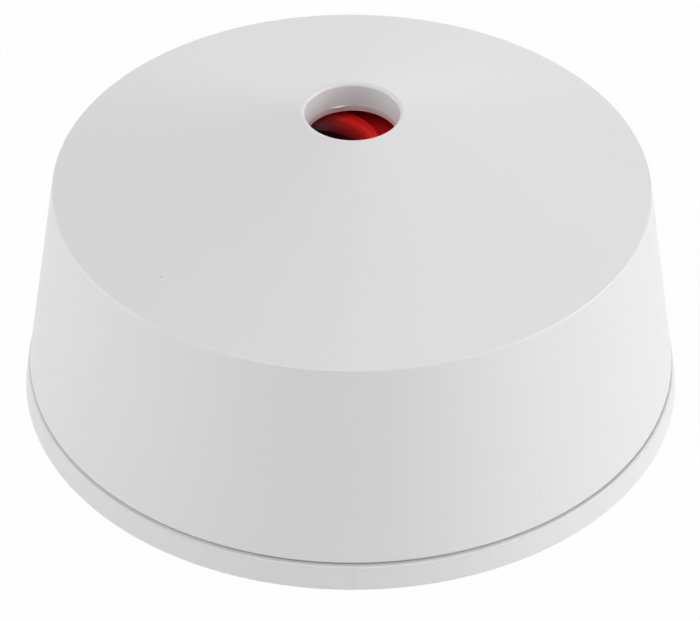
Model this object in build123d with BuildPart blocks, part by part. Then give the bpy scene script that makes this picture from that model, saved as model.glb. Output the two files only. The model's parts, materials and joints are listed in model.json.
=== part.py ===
from build123d import *
import os
from math import atan, cos, degrees, radians, tan

# Wall-mounted electronic alarm siren: a twist-off head on a round base plate.
# Millimetres and degrees. +Z points out of the face, z = 0 is the base's underside.

# Overall sizes
COVER_FOOT_RADIUS = 55.6
COVER_RIM_RADIUS = 50.3
COVER_RIM_HEIGHT = 41.1
FACE_SLOPE = 19.25
BASE_LEDGE = 0.9
BASE_THICKNESS = 4.5
COVER_GAP = 0.5

# Cover moulding
COVER_WALL = 2.2
RIM_FILLET = 0.4
FOOT_FILLET = 0.4
OUTLET_RADIUS = 7.95
OUTLET_LIP_FILLET = 0.6
NECK_WALL = 1.8
NECK_DEPTH = 5.67
NECK_END_RADIUS = 7.68
NECK_END_FILLET = 0.15
BOSS_RADIUS = 3.5

# Base plate moulding
BASE_EDGE_FILLET = 0.3
BASE_FOOT_FILLET = 0.3
BASE_SKIRT_WALL = 3.0
DECK_THICKNESS = 2.3
CABLE_HOLE_RADIUS = 11.0
CABLE_COLLAR_WALL = 1.6
BASE_RIB_COUNT = 8
BASE_RIB_WALL = 1.6
SLOT_CENTRE_RADIUS = 28.0
SLOT_WIDTH = 4.5
SLOT_LENGTH = 12.0
SLOT_PAD = 2.6
ROUND_FIXING_RADIUS = 25.5
TWIST_RING_WALL = 2.0
TWIST_RING_HEIGHT = 6.5

# Twist lock between cover and base
LUG_COUNT = 3
LUG_SPAN = 14.0
LUG_HEIGHT = 3.2
LUG_REACH = 3.6
LUG_SEAT_CLEARANCE = 0.3
LUG_RING_CLEARANCE = 0.6
LUG_STOP_ANGLE = 0.6
CATCH_SPAN = 16.0
CATCH_THICKNESS = 1.7
CATCH_WALL_CLEARANCE = 0.6
STOP_SPAN = 3.0

# Red horn and its seal under the face
HORN_HEIGHT = 16.6
HORN_LIP_RADIUS = 18.0
HORN_LIP_WALL = 1.8
HORN_CUP_DEPTH = 2.4
HORN_CUP_FLOOR = 2.0
FUNNEL_X = -6.0
FUNNEL_Y = 0.35
FUNNEL_CREST_RADIUS = 9.4
FUNNEL_CREST_WIDTH = 1.4
FUNNEL_CREST_FILLET = 0.6
FUNNEL_DEPTH = 2.4
THROAT_TOP_RADIUS = 7.6
THROAT_ENTRY_RADIUS = 3.5
THROAT_WALL = 2.0
HORN_FLANGE_MARGIN = 3.4
HORN_FLANGE_THICKNESS = 2.5
HORN_EAR_RADIUS = 5.0
HORN_EAR_REACH = 2.4
HORN_SCREW_COUNT = 4
HORN_SCREW_START = 45.0
HORN_HUB_WALL = 2.0
HORN_ROOF = 2.0
HORN_RIB_WALL = 1.8
OUTLET_SEAL_THICKNESS = 1.6
OUTLET_SEAL_CLEARANCE = 0.1

# Sounder disc, its seal and the chamber behind it
DISC_RADIUS = 20.5
DISC_THICKNESS = 0.3
DISC_CLEARANCE = 0.3
DISC_RECESS_DEPTH = 1.5
SEAL_WIDTH = 2.5
CAVITY_DEPTH = 1.2
CERAMIC_RADIUS = 12.5
CERAMIC_THICKNESS = 0.25
CHAMBER_FLANGE_MARGIN = 3.2
CHAMBER_FLANGE_THICKNESS = 2.5
CHAMBER_WALL = 1.8
CHAMBER_BOARD_GAP = 3.9
CHAMBER_SCREW_COUNT = 3
CHAMBER_SCREW_INSET = 2.6

# Lead wires from the disc to the board
LEAD_RADIUS = 0.6
LEAD_HOLE_RADIUS = 1.2
LEAD_SHIFT = 3.0
LEAD_LIVE_X = 5.0
LEAD_SEAL_GAP = 2.6
LEAD_BEND_SHARE = 0.45

# Circuit board and what stands on it
BOARD_EDGE_GAP = 6.4
BOARD_THICKNESS = 1.6
BOARD_ABOVE_DECK = 10.5
BOARD_SCREW_COUNT = 3
BOARD_SCREW_START = 90.0
BOARD_SCREW_EDGE = 4.1
PLATED_HOLE_RADIUS = 0.5
PLATED_HOLE_PITCH = 5.0
CHIP_LENGTH = 10.0
CHIP_WIDTH = 3.9
CHIP_HEIGHT = 1.5
CHIP_STAND_OFF = 0.15
CHIP_Y = 9.0
CHIP_PIN_PITCH = 1.27
CHIP_PINS_PER_SIDE = 8
CHIP_PIN_WIDTH = 0.42
CHIP_PIN_THICKNESS = 0.2
CHIP_PIN_REACH = 1.05
CHIP_PIN_RISE = 0.75
CAN_RADIUS = 4.0
CAN_HEIGHT = 11.5
CAN_EDGE_GAP = 7.5
CAN_ANGLES = (170.0, 190.0)
CAN_GROOVE = 0.5
CAN_GROOVE_HEIGHT = 2.0
SLEEVE_WALL = 0.3
SLEEVE_CLEARANCE = 0.05
COIL_RADIUS = 6.0
COIL_HEIGHT = 9.0
COIL_FLANGE = 1.2
COIL_CORE_RADIUS = 2.5
COIL_WINDING_INSET = 0.5
COIL_CLEARANCE = 0.05
COIL_EDGE_GAP = 9.0
DIODE_SIZE = (4.3, 2.6, 2.2)
DIODE_COUNT = 4
DIODE_PITCH = 6.0
DIODE_Y = -30.0
RESISTOR_SIZE = (1.25, 2.0, 0.6)
RESISTOR_COUNT = 8
RESISTOR_PITCH = 3.0
RESISTOR_Y = 24.0
TRANSISTOR_SIZE = (6.5, 3.5, 1.6)
TRANSISTOR_X = 18.0
TRANSISTOR_Y = 27.0
TRANSISTOR_LEG = (0.7, 1.6, 0.3)
TRANSISTOR_LEG_PITCH = 2.3
TRANSISTOR_LEG_COUNT = 3

# Tone selector under the board
DIP_POLES = 5
DIP_PITCH = 2.54
DIP_END_WALL = 1.1
DIP_WIDTH = 6.8
DIP_HEIGHT = 4.0
DIP_Y = -24.0
DIP_POCKET_WIDTH = 1.4
DIP_POCKET_LENGTH = 3.2
DIP_POCKET_DEPTH = 1.6
DIP_CLEARANCE = 0.1
DIP_SLIDER_LENGTH = 1.5
DIP_SLIDER_PROUD = 0.7
DIP_SET = (1, -1, 1, 1, -1)

# Volume control under the board
TRIMMER_SIZE = 6.6
TRIMMER_HEIGHT = 4.0
TRIMMER_X = 15.5
ROTOR_RADIUS = 2.15
ROTOR_RUNNING_CLEARANCE = 0.05
ROTOR_POCKET_DEPTH = 1.8
ROTOR_END_CLEARANCE = 0.1
ROTOR_PROUD = 0.3
ROTOR_SLOT_WIDTH = 0.6
ROTOR_SLOT_DEPTH = 0.8
ROTOR_SLOT_LENGTH = 3.4

# Contacts between head and base
CONTACT_COUNT = 4
CONTACT_START = 45.0
CONTACT_EDGE_GAP = 7.0
BLADE_THICKNESS = 0.8
BLADE_SPAN = 8.0
BLADE_STRIP_GAP = 1.7
BLADE_FOOT = (6.0, 5.0, 0.8)
CLIP_GAP = 0.3
CLIP_LEAF = 0.6
CLIP_SPAN = 10.0
CLIP_LEAF_HEIGHT = 5.0
CLIP_STRIP_THICKNESS = 0.8
CLIP_STRIP_WIDTH = 7.0
TERMINAL_INSET = 7.0
TERMINAL_END = 3.5
WASHER_SIZE = 6.6
WASHER_THICKNESS = 1.0
TERMINAL_BOSS_RADIUS = 3.4
TERMINAL_HOLE_FLOOR = 0.8

# Screws: (shank radius, head radius, head height)
M3_SCREW = (1.45, 2.9, 2.1)
SMALL_SCREW = (1.2, 2.3, 1.6)
SCREW_HOLE_CLEARANCE = 0.15
SCREW_PILOT_CLEARANCE = 0.05
SCREW_TIP_CLEARANCE = 0.4
HORN_SCREW_BITE = 6.5
BOARD_SCREW_BITE = 6.5
CHAMBER_SCREW_BITE = 1.9
CROSS_SLOT_WIDTH = 0.6

# Heights worked out from the sizes above
DECK_TOP = BASE_THICKNESS
COVER_FOOT = DECK_TOP + COVER_GAP
BASE_RADIUS = COVER_FOOT_RADIUS + BASE_LEDGE
SIDE_TAPER = (COVER_FOOT_RADIUS - COVER_RIM_RADIUS) / (COVER_RIM_HEIGHT - COVER_FOOT)
FACE_RISE = tan(radians(FACE_SLOPE))
CEILING_DROP = COVER_WALL / cos(radians(FACE_SLOPE))


def cover_inside(height):
    """Inner radius of the cover's side wall at a height."""
    return COVER_FOOT_RADIUS - SIDE_TAPER * (height - COVER_FOOT) - COVER_WALL


def face_height(radius):
    """Height of the conical face at a radius."""
    return COVER_RIM_HEIGHT + (COVER_RIM_RADIUS - radius) * FACE_RISE


def ceiling_height(radius):
    """Height of the underside of the conical face at a radius."""
    return face_height(radius) - CEILING_DROP


BOARD_BOTTOM = DECK_TOP + BOARD_ABOVE_DECK
BOARD_TOP = BOARD_BOTTOM + BOARD_THICKNESS
BOARD_RADIUS = cover_inside(BOARD_BOTTOM) - BOARD_EDGE_GAP
BOARD_SCREW_CIRCLE = BOARD_RADIUS - BOARD_SCREW_EDGE
CONTACT_CIRCLE = BOARD_RADIUS - CONTACT_EDGE_GAP
TERMINAL_CIRCLE = CONTACT_CIRCLE - TERMINAL_INSET
CAVITY_RADIUS = DISC_RADIUS - SEAL_WIDTH
LEAD_RETURN_X = LEAD_SEAL_GAP - CAVITY_RADIUS
CHAMBER_SCREW_CIRCLE = DISC_RADIUS + DISC_CLEARANCE + CHAMBER_SCREW_INSET
CHAMBER_FLANGE_RADIUS = CHAMBER_SCREW_CIRCLE + CHAMBER_FLANGE_MARGIN
HORN_FLANGE_RADIUS = CHAMBER_FLANGE_RADIUS + HORN_FLANGE_MARGIN
HORN_SCREW_CIRCLE = HORN_FLANGE_RADIUS + HORN_EAR_REACH
HORN_LIP_TOP = ceiling_height(HORN_LIP_RADIUS) - OUTLET_SEAL_THICKNESS
HORN_BOTTOM = HORN_LIP_TOP - HORN_HEIGHT
HORN_FLANGE_TOP = HORN_BOTTOM + HORN_FLANGE_THICKNESS
DISC_SEAT = HORN_BOTTOM + DISC_RECESS_DEPTH
DISC_BOTTOM = DISC_SEAT - DISC_THICKNESS
CAVITY_TOP = DISC_SEAT + CAVITY_DEPTH
CHAMBER_BOTTOM = BOARD_TOP + CHAMBER_BOARD_GAP
LUG_BOTTOM = DECK_TOP + LUG_SEAT_CLEARANCE
LUG_TOP = LUG_BOTTOM + LUG_HEIGHT
CATCH_BOTTOM = LUG_TOP + LUG_SEAT_CLEARANCE
CATCH_TOP = CATCH_BOTTOM + CATCH_THICKNESS
LUG_INNER_RADIUS = cover_inside(COVER_FOOT) - LUG_REACH
TWIST_RING_RADIUS = LUG_INNER_RADIUS - LUG_RING_CLEARANCE
CATCH_OUTER_RADIUS = cover_inside(CATCH_TOP) - CATCH_WALL_CLEARANCE
CLIP_STRIP_TOP = DECK_TOP + CLIP_STRIP_THICKNESS
WASHER_TOP = CLIP_STRIP_TOP + WASHER_THICKNESS
BLADE_BOTTOM = CLIP_STRIP_TOP + BLADE_STRIP_GAP
TERMINAL_SCREW_LENGTH = WASHER_TOP - TERMINAL_HOLE_FLOOR - SCREW_TIP_CLEARANCE


def ring_sector(inner, outer, middle, span):
    """Flat face between two radii, centred on an angle."""
    start = middle - span / 2
    with BuildSketch() as sector:
        with BuildLine():
            outside = CenterArc((0, 0), outer, start, span)
            inside = CenterArc((0, 0), inner, start, span)
            Line(outside @ 0, inside @ 0)
            Line(outside @ 1, inside @ 1)
        make_face()
    return sector.sketch


def cross_screw(size, length):
    """Cross-head screw with its head under z = 0 and its shank up the Z axis."""
    shank, head, head_height = size
    with BuildPart() as screw:
        with BuildSketch(Plane.XY.offset(-head_height)):
            Circle(head)
        extrude(amount=head_height)
        bottom = screw.edges().sort_by(Axis.Z)[0]
        fillet(bottom, head_height / 2)
        with BuildSketch():
            Circle(shank)
        extrude(amount=length)
        chamfer(screw.edges().sort_by(Axis.Z)[-1], shank / 2)
        with BuildSketch(Plane.XY.offset(-head_height)):
            Rectangle(head * 1.2, CROSS_SLOT_WIDTH)
            Rectangle(CROSS_SLOT_WIDTH, head * 1.2)
        extrude(amount=head_height / 2, mode=Mode.SUBTRACT)
    return screw.part


def screw_circle(screw, radius, count, start, height):
    """The same screw repeated round a circle at one height."""
    with BuildPart() as group:
        with Locations((0, 0, height)):
            with PolarLocations(radius, count, start):
                add(screw)
    return group


def make_base_plate():
    """Round wall plate with a skirt, ribs, twist ring, cable hole and fixings."""
    catch = ring_sector(TWIST_RING_RADIUS - TWIST_RING_WALL / 2, CATCH_OUTER_RADIUS, 0, CATCH_SPAN)
    stop_angle = -(LUG_SPAN + STOP_SPAN) / 2 - LUG_STOP_ANGLE
    stop = ring_sector(TWIST_RING_RADIUS - TWIST_RING_WALL / 2, CATCH_OUTER_RADIUS, stop_angle, STOP_SPAN)
    underside_depth = DECK_TOP - DECK_THICKNESS
    with BuildPart() as base_plate:
        with BuildSketch():
            Circle(BASE_RADIUS)
        extrude(amount=DECK_TOP, taper=degrees(atan(SIDE_TAPER)))
        fillet(base_plate.edges().sort_by(Axis.Z)[-1], BASE_EDGE_FILLET)
        fillet(base_plate.edges().sort_by(Axis.Z)[0], BASE_FOOT_FILLET)
        with BuildSketch():
            Circle(BASE_RADIUS - BASE_SKIRT_WALL)
        extrude(amount=underside_depth, mode=Mode.SUBTRACT)
        with BuildSketch():
            Circle(CABLE_HOLE_RADIUS + CABLE_COLLAR_WALL)
            with PolarLocations(0, BASE_RIB_COUNT // 2, 180 / BASE_RIB_COUNT, 180):
                Rectangle(2 * BASE_RADIUS - BASE_SKIRT_WALL, BASE_RIB_WALL)
            with PolarLocations(SLOT_CENTRE_RADIUS, 2):
                SlotOverall(SLOT_LENGTH + 2 * SLOT_PAD, SLOT_WIDTH + 2 * SLOT_PAD)
            with PolarLocations(ROUND_FIXING_RADIUS, 2, 90):
                Circle(SLOT_WIDTH / 2 + SLOT_PAD)
            with PolarLocations(TERMINAL_CIRCLE, CONTACT_COUNT, CONTACT_START):
                Circle(TERMINAL_BOSS_RADIUS)
        extrude(amount=underside_depth)
        with BuildSketch(Plane.XY.offset(DECK_TOP)):
            Circle(TWIST_RING_RADIUS)
            Circle(TWIST_RING_RADIUS - TWIST_RING_WALL, mode=Mode.SUBTRACT)
        extrude(amount=TWIST_RING_HEIGHT)
        with BuildSketch(Plane.XY.offset(CATCH_BOTTOM)):
            with PolarLocations(0, LUG_COUNT):
                add(catch)
        extrude(amount=CATCH_THICKNESS)
        with BuildSketch(Plane.XY.offset(DECK_TOP)):
            with PolarLocations(0, LUG_COUNT):
                add(stop)
        extrude(amount=CATCH_TOP - DECK_TOP)
        with BuildSketch():
            Circle(CABLE_HOLE_RADIUS)
            with PolarLocations(SLOT_CENTRE_RADIUS, 2):
                SlotOverall(SLOT_LENGTH, SLOT_WIDTH)
            with PolarLocations(ROUND_FIXING_RADIUS, 2, 90):
                Circle(SLOT_WIDTH / 2)
        extrude(amount=DECK_TOP, mode=Mode.SUBTRACT)
        with BuildSketch(Plane.XY.offset(TERMINAL_HOLE_FLOOR)):
            with PolarLocations(TERMINAL_CIRCLE, CONTACT_COUNT, CONTACT_START):
                Circle(M3_SCREW[0] + SCREW_PILOT_CLEARANCE)
        extrude(amount=DECK_TOP, mode=Mode.SUBTRACT)
    return base_plate


def make_contact_clips():
    """Forked strips on the base that grip the head's blades and end in a terminal."""
    gap = BLADE_THICKNESS / 2 + CLIP_GAP
    inner = ring_sector(CONTACT_CIRCLE - gap - CLIP_LEAF, CONTACT_CIRCLE - gap, 0, CLIP_SPAN)
    outer = ring_sector(CONTACT_CIRCLE + gap, CONTACT_CIRCLE + gap + CLIP_LEAF, 0, CLIP_SPAN)
    foot = ring_sector(CONTACT_CIRCLE - gap - CLIP_LEAF, CONTACT_CIRCLE + gap + CLIP_LEAF, 0, CLIP_SPAN)
    strip_start = TERMINAL_CIRCLE - TERMINAL_END
    with BuildPart() as contact_clips:
        with BuildSketch(Plane.XY.offset(DECK_TOP)):
            with PolarLocations(0, CONTACT_COUNT, CONTACT_START):
                add(foot)
            with PolarLocations((strip_start + CONTACT_CIRCLE) / 2, CONTACT_COUNT, CONTACT_START):
                Rectangle(CONTACT_CIRCLE - strip_start, CLIP_STRIP_WIDTH)
            with PolarLocations(TERMINAL_CIRCLE, CONTACT_COUNT, CONTACT_START):
                Circle(M3_SCREW[0] + SCREW_HOLE_CLEARANCE, mode=Mode.SUBTRACT)
        extrude(amount=CLIP_STRIP_THICKNESS)
        with BuildSketch(Plane.XY.offset(DECK_TOP)):
            with PolarLocations(0, CONTACT_COUNT, CONTACT_START):
                add(inner)
                add(outer)
        extrude(amount=CLIP_LEAF_HEIGHT)
    return contact_clips


def make_terminal_washers():
    """Square clamp washers that hold the building's wires on the clip strips."""
    with BuildPart() as terminal_washers:
        with BuildSketch(Plane.XY.offset(CLIP_STRIP_TOP)):
            with PolarLocations(TERMINAL_CIRCLE, CONTACT_COUNT, CONTACT_START):
                Rectangle(WASHER_SIZE, WASHER_SIZE)
                Circle(M3_SCREW[0] + SCREW_HOLE_CLEARANCE, mode=Mode.SUBTRACT)
        extrude(amount=WASHER_THICKNESS)
    return terminal_washers


def make_cover():
    """Thin round shell: tapered side, conical face, sound outlet neck, posts and lugs."""
    neck_end = face_height(OUTLET_RADIUS) - NECK_DEPTH
    neck_outside = NECK_END_RADIUS + NECK_WALL
    inner_rim = (cover_inside(COVER_FOOT) - SIDE_TAPER * (ceiling_height(0) - COVER_FOOT)) / (
        1 - SIDE_TAPER * FACE_RISE
    )
    half_wall = COVER_WALL / 2
    lug = ring_sector(LUG_INNER_RADIUS, cover_inside(LUG_TOP) + half_wall, 0, LUG_SPAN)
    with BuildPart() as posts:
        with BuildSketch(Plane.XY.offset(BOARD_TOP)):
            with PolarLocations(BOARD_SCREW_CIRCLE, BOARD_SCREW_COUNT, BOARD_SCREW_START):
                Circle(BOSS_RADIUS)
        extrude(amount=COVER_RIM_HEIGHT)
        with BuildSketch(Plane.XY.offset(HORN_FLANGE_TOP)):
            with PolarLocations(HORN_SCREW_CIRCLE, HORN_SCREW_COUNT, HORN_SCREW_START):
                Circle(BOSS_RADIUS)
        extrude(amount=COVER_RIM_HEIGHT)
        with BuildSketch(Plane.XZ):
            Polygon(
                (0, COVER_FOOT),
                (COVER_FOOT_RADIUS - half_wall, COVER_FOOT),
                (COVER_RIM_RADIUS - half_wall, COVER_RIM_HEIGHT - half_wall),
                (0, face_height(0) - half_wall),
                align=None,
            )
        revolve(axis=Axis.Z, mode=Mode.INTERSECT)
    with BuildPart() as cover:
        with BuildSketch(Plane.XZ) as section:
            with BuildLine():
                Polyline(
                    (cover_inside(COVER_FOOT), COVER_FOOT),
                    (COVER_FOOT_RADIUS, COVER_FOOT),
                    (COVER_RIM_RADIUS, COVER_RIM_HEIGHT),
                    (OUTLET_RADIUS, face_height(OUTLET_RADIUS)),
                    (NECK_END_RADIUS, neck_end),
                    (neck_outside, neck_end),
                    (neck_outside, ceiling_height(neck_outside)),
                    (inner_rim, ceiling_height(inner_rim)),
                    close=True,
                )
            make_face()
            for radius, height, size in (
                (COVER_FOOT_RADIUS, COVER_FOOT, FOOT_FILLET),
                (COVER_RIM_RADIUS, COVER_RIM_HEIGHT, RIM_FILLET),
                (OUTLET_RADIUS, face_height(OUTLET_RADIUS), OUTLET_LIP_FILLET),
                (NECK_END_RADIUS, neck_end, NECK_END_FILLET),
            ):
                corner = section.vertices().sort_by_distance((radius, height, 0))[0]
                fillet(corner, size)
        revolve(axis=Axis.Z)
        add(posts.part)
        with BuildSketch(Plane.XY.offset(LUG_BOTTOM)):
            with PolarLocations(0, LUG_COUNT):
                add(lug)
        extrude(amount=LUG_HEIGHT)
        with BuildSketch(Plane.XY.offset(BOARD_TOP)):
            with PolarLocations(BOARD_SCREW_CIRCLE, BOARD_SCREW_COUNT, BOARD_SCREW_START):
                Circle(SMALL_SCREW[0] + SCREW_PILOT_CLEARANCE)
        extrude(amount=BOARD_SCREW_BITE + SCREW_TIP_CLEARANCE, mode=Mode.SUBTRACT)
        with BuildSketch(Plane.XY.offset(HORN_FLANGE_TOP)):
            with PolarLocations(HORN_SCREW_CIRCLE, HORN_SCREW_COUNT, HORN_SCREW_START):
                Circle(SMALL_SCREW[0] + SCREW_PILOT_CLEARANCE)
        extrude(amount=HORN_SCREW_BITE + SCREW_TIP_CLEARANCE, mode=Mode.SUBTRACT)
    return cover


def make_horn():
    """Sound horn: a flange and disc seat, a slanted throat and an off-centre funnel."""
    cup_floor = HORN_LIP_TOP - HORN_CUP_DEPTH
    cup_bottom = cup_floor - HORN_CUP_FLOOR
    funnel_bottom = HORN_LIP_TOP - FUNNEL_DEPTH
    hub_top = CAVITY_TOP + HORN_ROOF
    rib_inner = THROAT_ENTRY_RADIUS + THROAT_WALL
    with BuildPart() as horn:
        with BuildSketch(Plane.XY.offset(HORN_BOTTOM)):
            Circle(HORN_FLANGE_RADIUS)
            with PolarLocations(HORN_SCREW_CIRCLE, HORN_SCREW_COUNT, HORN_SCREW_START):
                Circle(HORN_EAR_RADIUS)
        extrude(amount=HORN_FLANGE_THICKNESS)
        with BuildSketch(Plane.XY.offset(HORN_BOTTOM)):
            Circle(DISC_RADIUS + HORN_HUB_WALL)
        extrude(amount=hub_top - HORN_BOTTOM)
        with BuildSketch(Plane.XY.offset(cup_bottom)):
            Circle(HORN_LIP_RADIUS)
        extrude(amount=HORN_LIP_TOP - cup_bottom)
        with BuildSketch(Plane.XY.offset(HORN_FLANGE_TOP)):
            with PolarLocations((rib_inner + HORN_LIP_RADIUS) / 2, HORN_SCREW_COUNT, HORN_SCREW_START):
                Rectangle(HORN_LIP_RADIUS - rib_inner, HORN_RIB_WALL)
        extrude(amount=cup_bottom - HORN_FLANGE_TOP)
        with BuildSketch(Plane.XY.offset(cup_floor)):
            Circle(HORN_LIP_RADIUS - HORN_LIP_WALL)
            with Locations((FUNNEL_X, FUNNEL_Y)):
                Circle(FUNNEL_CREST_RADIUS + FUNNEL_CREST_WIDTH, mode=Mode.SUBTRACT)
        extrude(amount=HORN_CUP_DEPTH, mode=Mode.SUBTRACT)
        with BuildSketch(Plane.XY.offset(CAVITY_TOP)):
            Circle(THROAT_ENTRY_RADIUS + THROAT_WALL)
        with BuildSketch(Plane.XY.offset(funnel_bottom)):
            with Locations((FUNNEL_X, FUNNEL_Y)):
                Circle(THROAT_TOP_RADIUS + THROAT_WALL)
        loft()
        with BuildSketch(Plane.XY.offset(CAVITY_TOP)):
            Circle(THROAT_ENTRY_RADIUS)
        with BuildSketch(Plane.XY.offset(funnel_bottom)):
            with Locations((FUNNEL_X, FUNNEL_Y)):
                Circle(THROAT_TOP_RADIUS)
        loft(mode=Mode.SUBTRACT)
        with Locations((FUNNEL_X, FUNNEL_Y, funnel_bottom + FUNNEL_DEPTH / 2)):
            Cone(THROAT_TOP_RADIUS, FUNNEL_CREST_RADIUS, FUNNEL_DEPTH, mode=Mode.SUBTRACT)
        with BuildSketch(Plane.XY.offset(HORN_BOTTOM)):
            Circle(DISC_RADIUS + DISC_CLEARANCE)
        extrude(amount=DISC_RECESS_DEPTH, mode=Mode.SUBTRACT)
        with BuildSketch(Plane.XY.offset(DISC_SEAT)):
            Circle(CAVITY_RADIUS)
        extrude(amount=CAVITY_DEPTH, mode=Mode.SUBTRACT)
        with BuildSketch(Plane.XY.offset(HORN_BOTTOM)):
            with PolarLocations(HORN_SCREW_CIRCLE, HORN_SCREW_COUNT, HORN_SCREW_START):
                Circle(SMALL_SCREW[0] + SCREW_HOLE_CLEARANCE)
        extrude(amount=HORN_FLANGE_THICKNESS, mode=Mode.SUBTRACT)
        with BuildSketch(Plane.XY.offset(HORN_BOTTOM)):
            with PolarLocations(CHAMBER_SCREW_CIRCLE, CHAMBER_SCREW_COUNT):
                Circle(SMALL_SCREW[0] + SCREW_PILOT_CLEARANCE)
        extrude(amount=CHAMBER_SCREW_BITE + SCREW_TIP_CLEARANCE / 2, mode=Mode.SUBTRACT)
        top_edges = horn.edges().filter_by(GeomType.CIRCLE).group_by(Axis.Z)[-1]
        crest = [e for e in top_edges if abs(e.radius - FUNNEL_CREST_RADIUS) < FUNNEL_CREST_FILLET]
        fillet(crest, FUNNEL_CREST_FILLET)
    return horn


def make_ring(inner, outer, bottom, top):
    """Plain flat ring between two heights."""
    with BuildPart() as ring:
        with BuildSketch(Plane.XY.offset(bottom)):
            Circle(outer)
            Circle(inner, mode=Mode.SUBTRACT)
        extrude(amount=top - bottom)
    return ring


def make_disc(radius, bottom, thickness):
    """Plain thin disc."""
    with BuildPart() as disc:
        with BuildSketch(Plane.XY.offset(bottom)):
            Circle(radius)
        extrude(amount=thickness)
    return disc


def make_rear_chamber():
    """Round cup that closes the space behind the disc and clamps its edge seal."""
    with BuildPart() as rear_chamber:
        with BuildSketch(Plane.XY.offset(HORN_BOTTOM - CHAMBER_FLANGE_THICKNESS)):
            Circle(CHAMBER_FLANGE_RADIUS)
        extrude(amount=CHAMBER_FLANGE_THICKNESS)
        with BuildSketch(Plane.XY.offset(CHAMBER_BOTTOM)):
            Circle(CAVITY_RADIUS + CHAMBER_WALL)
        extrude(amount=HORN_BOTTOM - CHAMBER_BOTTOM)
        with BuildSketch(Plane.XY.offset(CHAMBER_BOTTOM + CHAMBER_WALL)):
            Circle(CAVITY_RADIUS)
        extrude(amount=HORN_BOTTOM - CHAMBER_BOTTOM - CHAMBER_WALL, mode=Mode.SUBTRACT)
        with BuildSketch(Plane.XY.offset(CHAMBER_BOTTOM)):
            with Locations((LEAD_LIVE_X + LEAD_SHIFT, 0), (LEAD_RETURN_X + LEAD_SHIFT, 0)):
                Circle(LEAD_HOLE_RADIUS)
        extrude(amount=CHAMBER_WALL, mode=Mode.SUBTRACT)
        with BuildSketch(Plane.XY.offset(HORN_BOTTOM - CHAMBER_FLANGE_THICKNESS)):
            with PolarLocations(CHAMBER_SCREW_CIRCLE, CHAMBER_SCREW_COUNT):
                Circle(SMALL_SCREW[0] + SCREW_HOLE_CLEARANCE)
        extrude(amount=CHAMBER_FLANGE_THICKNESS, mode=Mode.SUBTRACT)
    return rear_chamber


def make_lead(x, top):
    """Insulated wire from the disc, through the chamber floor, to the board."""
    drop = (top - BOARD_TOP) / 4
    points = (
        (x, 0, top),
        (x, 0, top - drop),
        (x + LEAD_SHIFT, 0, top - 2 * drop),
        (x + LEAD_SHIFT, 0, BOARD_TOP),
    )
    turn = Vector(0, 0, -1).get_angle(Vector(LEAD_SHIFT, 0, -drop))
    bend_radius = LEAD_BEND_SHARE * drop / tan(radians(turn / 2))
    with BuildPart() as lead:
        with BuildLine() as route:
            FilletPolyline(*points, radius=bend_radius)
        with BuildSketch(Plane(origin=route.line @ 0, z_dir=route.line % 0)):
            Circle(LEAD_RADIUS)
        sweep()
    return lead


def make_circuit_board():
    """Round board with its screw holes and two rows of plated holes."""
    with BuildPart() as circuit_board:
        with BuildSketch(Plane.XY.offset(BOARD_BOTTOM)):
            Circle(BOARD_RADIUS)
            with PolarLocations(BOARD_SCREW_CIRCLE, BOARD_SCREW_COUNT, BOARD_SCREW_START):
                Circle(SMALL_SCREW[0] + SCREW_HOLE_CLEARANCE, mode=Mode.SUBTRACT)
            with GridLocations(PLATED_HOLE_PITCH, PLATED_HOLE_PITCH, 5, 2):
                Circle(PLATED_HOLE_RADIUS, mode=Mode.SUBTRACT)
        extrude(amount=BOARD_THICKNESS)
    return circuit_board


def make_contact_blades():
    """Blades under the board, each with a soldered foot, that enter the base clips."""
    blade = ring_sector(
        CONTACT_CIRCLE - BLADE_THICKNESS / 2, CONTACT_CIRCLE + BLADE_THICKNESS / 2, 0, BLADE_SPAN
    )
    foot_length, foot_width, foot_thickness = BLADE_FOOT
    with BuildPart() as contact_blades:
        with BuildSketch(Plane.XY.offset(BOARD_BOTTOM - foot_thickness)):
            with PolarLocations(CONTACT_CIRCLE, CONTACT_COUNT, CONTACT_START):
                Rectangle(foot_length, foot_width)
        extrude(amount=foot_thickness)
        with BuildSketch(Plane.XY.offset(BLADE_BOTTOM)):
            with PolarLocations(0, CONTACT_COUNT, CONTACT_START):
                add(blade)
        extrude(amount=BOARD_BOTTOM - BLADE_BOTTOM)
    return contact_blades


def make_dip_switch_body():
    """Case of the tone selector, with one pocket for each slider, facing the base."""
    bottom = BOARD_BOTTOM - DIP_HEIGHT
    with BuildPart() as dip_switch_body:
        with BuildSketch(Plane.XY.offset(bottom)):
            with Locations((0, DIP_Y)):
                Rectangle(DIP_POLES * DIP_PITCH + 2 * DIP_END_WALL, DIP_WIDTH)
        extrude(amount=DIP_HEIGHT)
        with BuildSketch(Plane.XY.offset(bottom)):
            with Locations((0, DIP_Y)):
                with GridLocations(DIP_PITCH, DIP_PITCH, DIP_POLES, 1):
                    Rectangle(DIP_POCKET_WIDTH, DIP_POCKET_LENGTH)
        extrude(amount=DIP_POCKET_DEPTH, mode=Mode.SUBTRACT)
    return dip_switch_body


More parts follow.
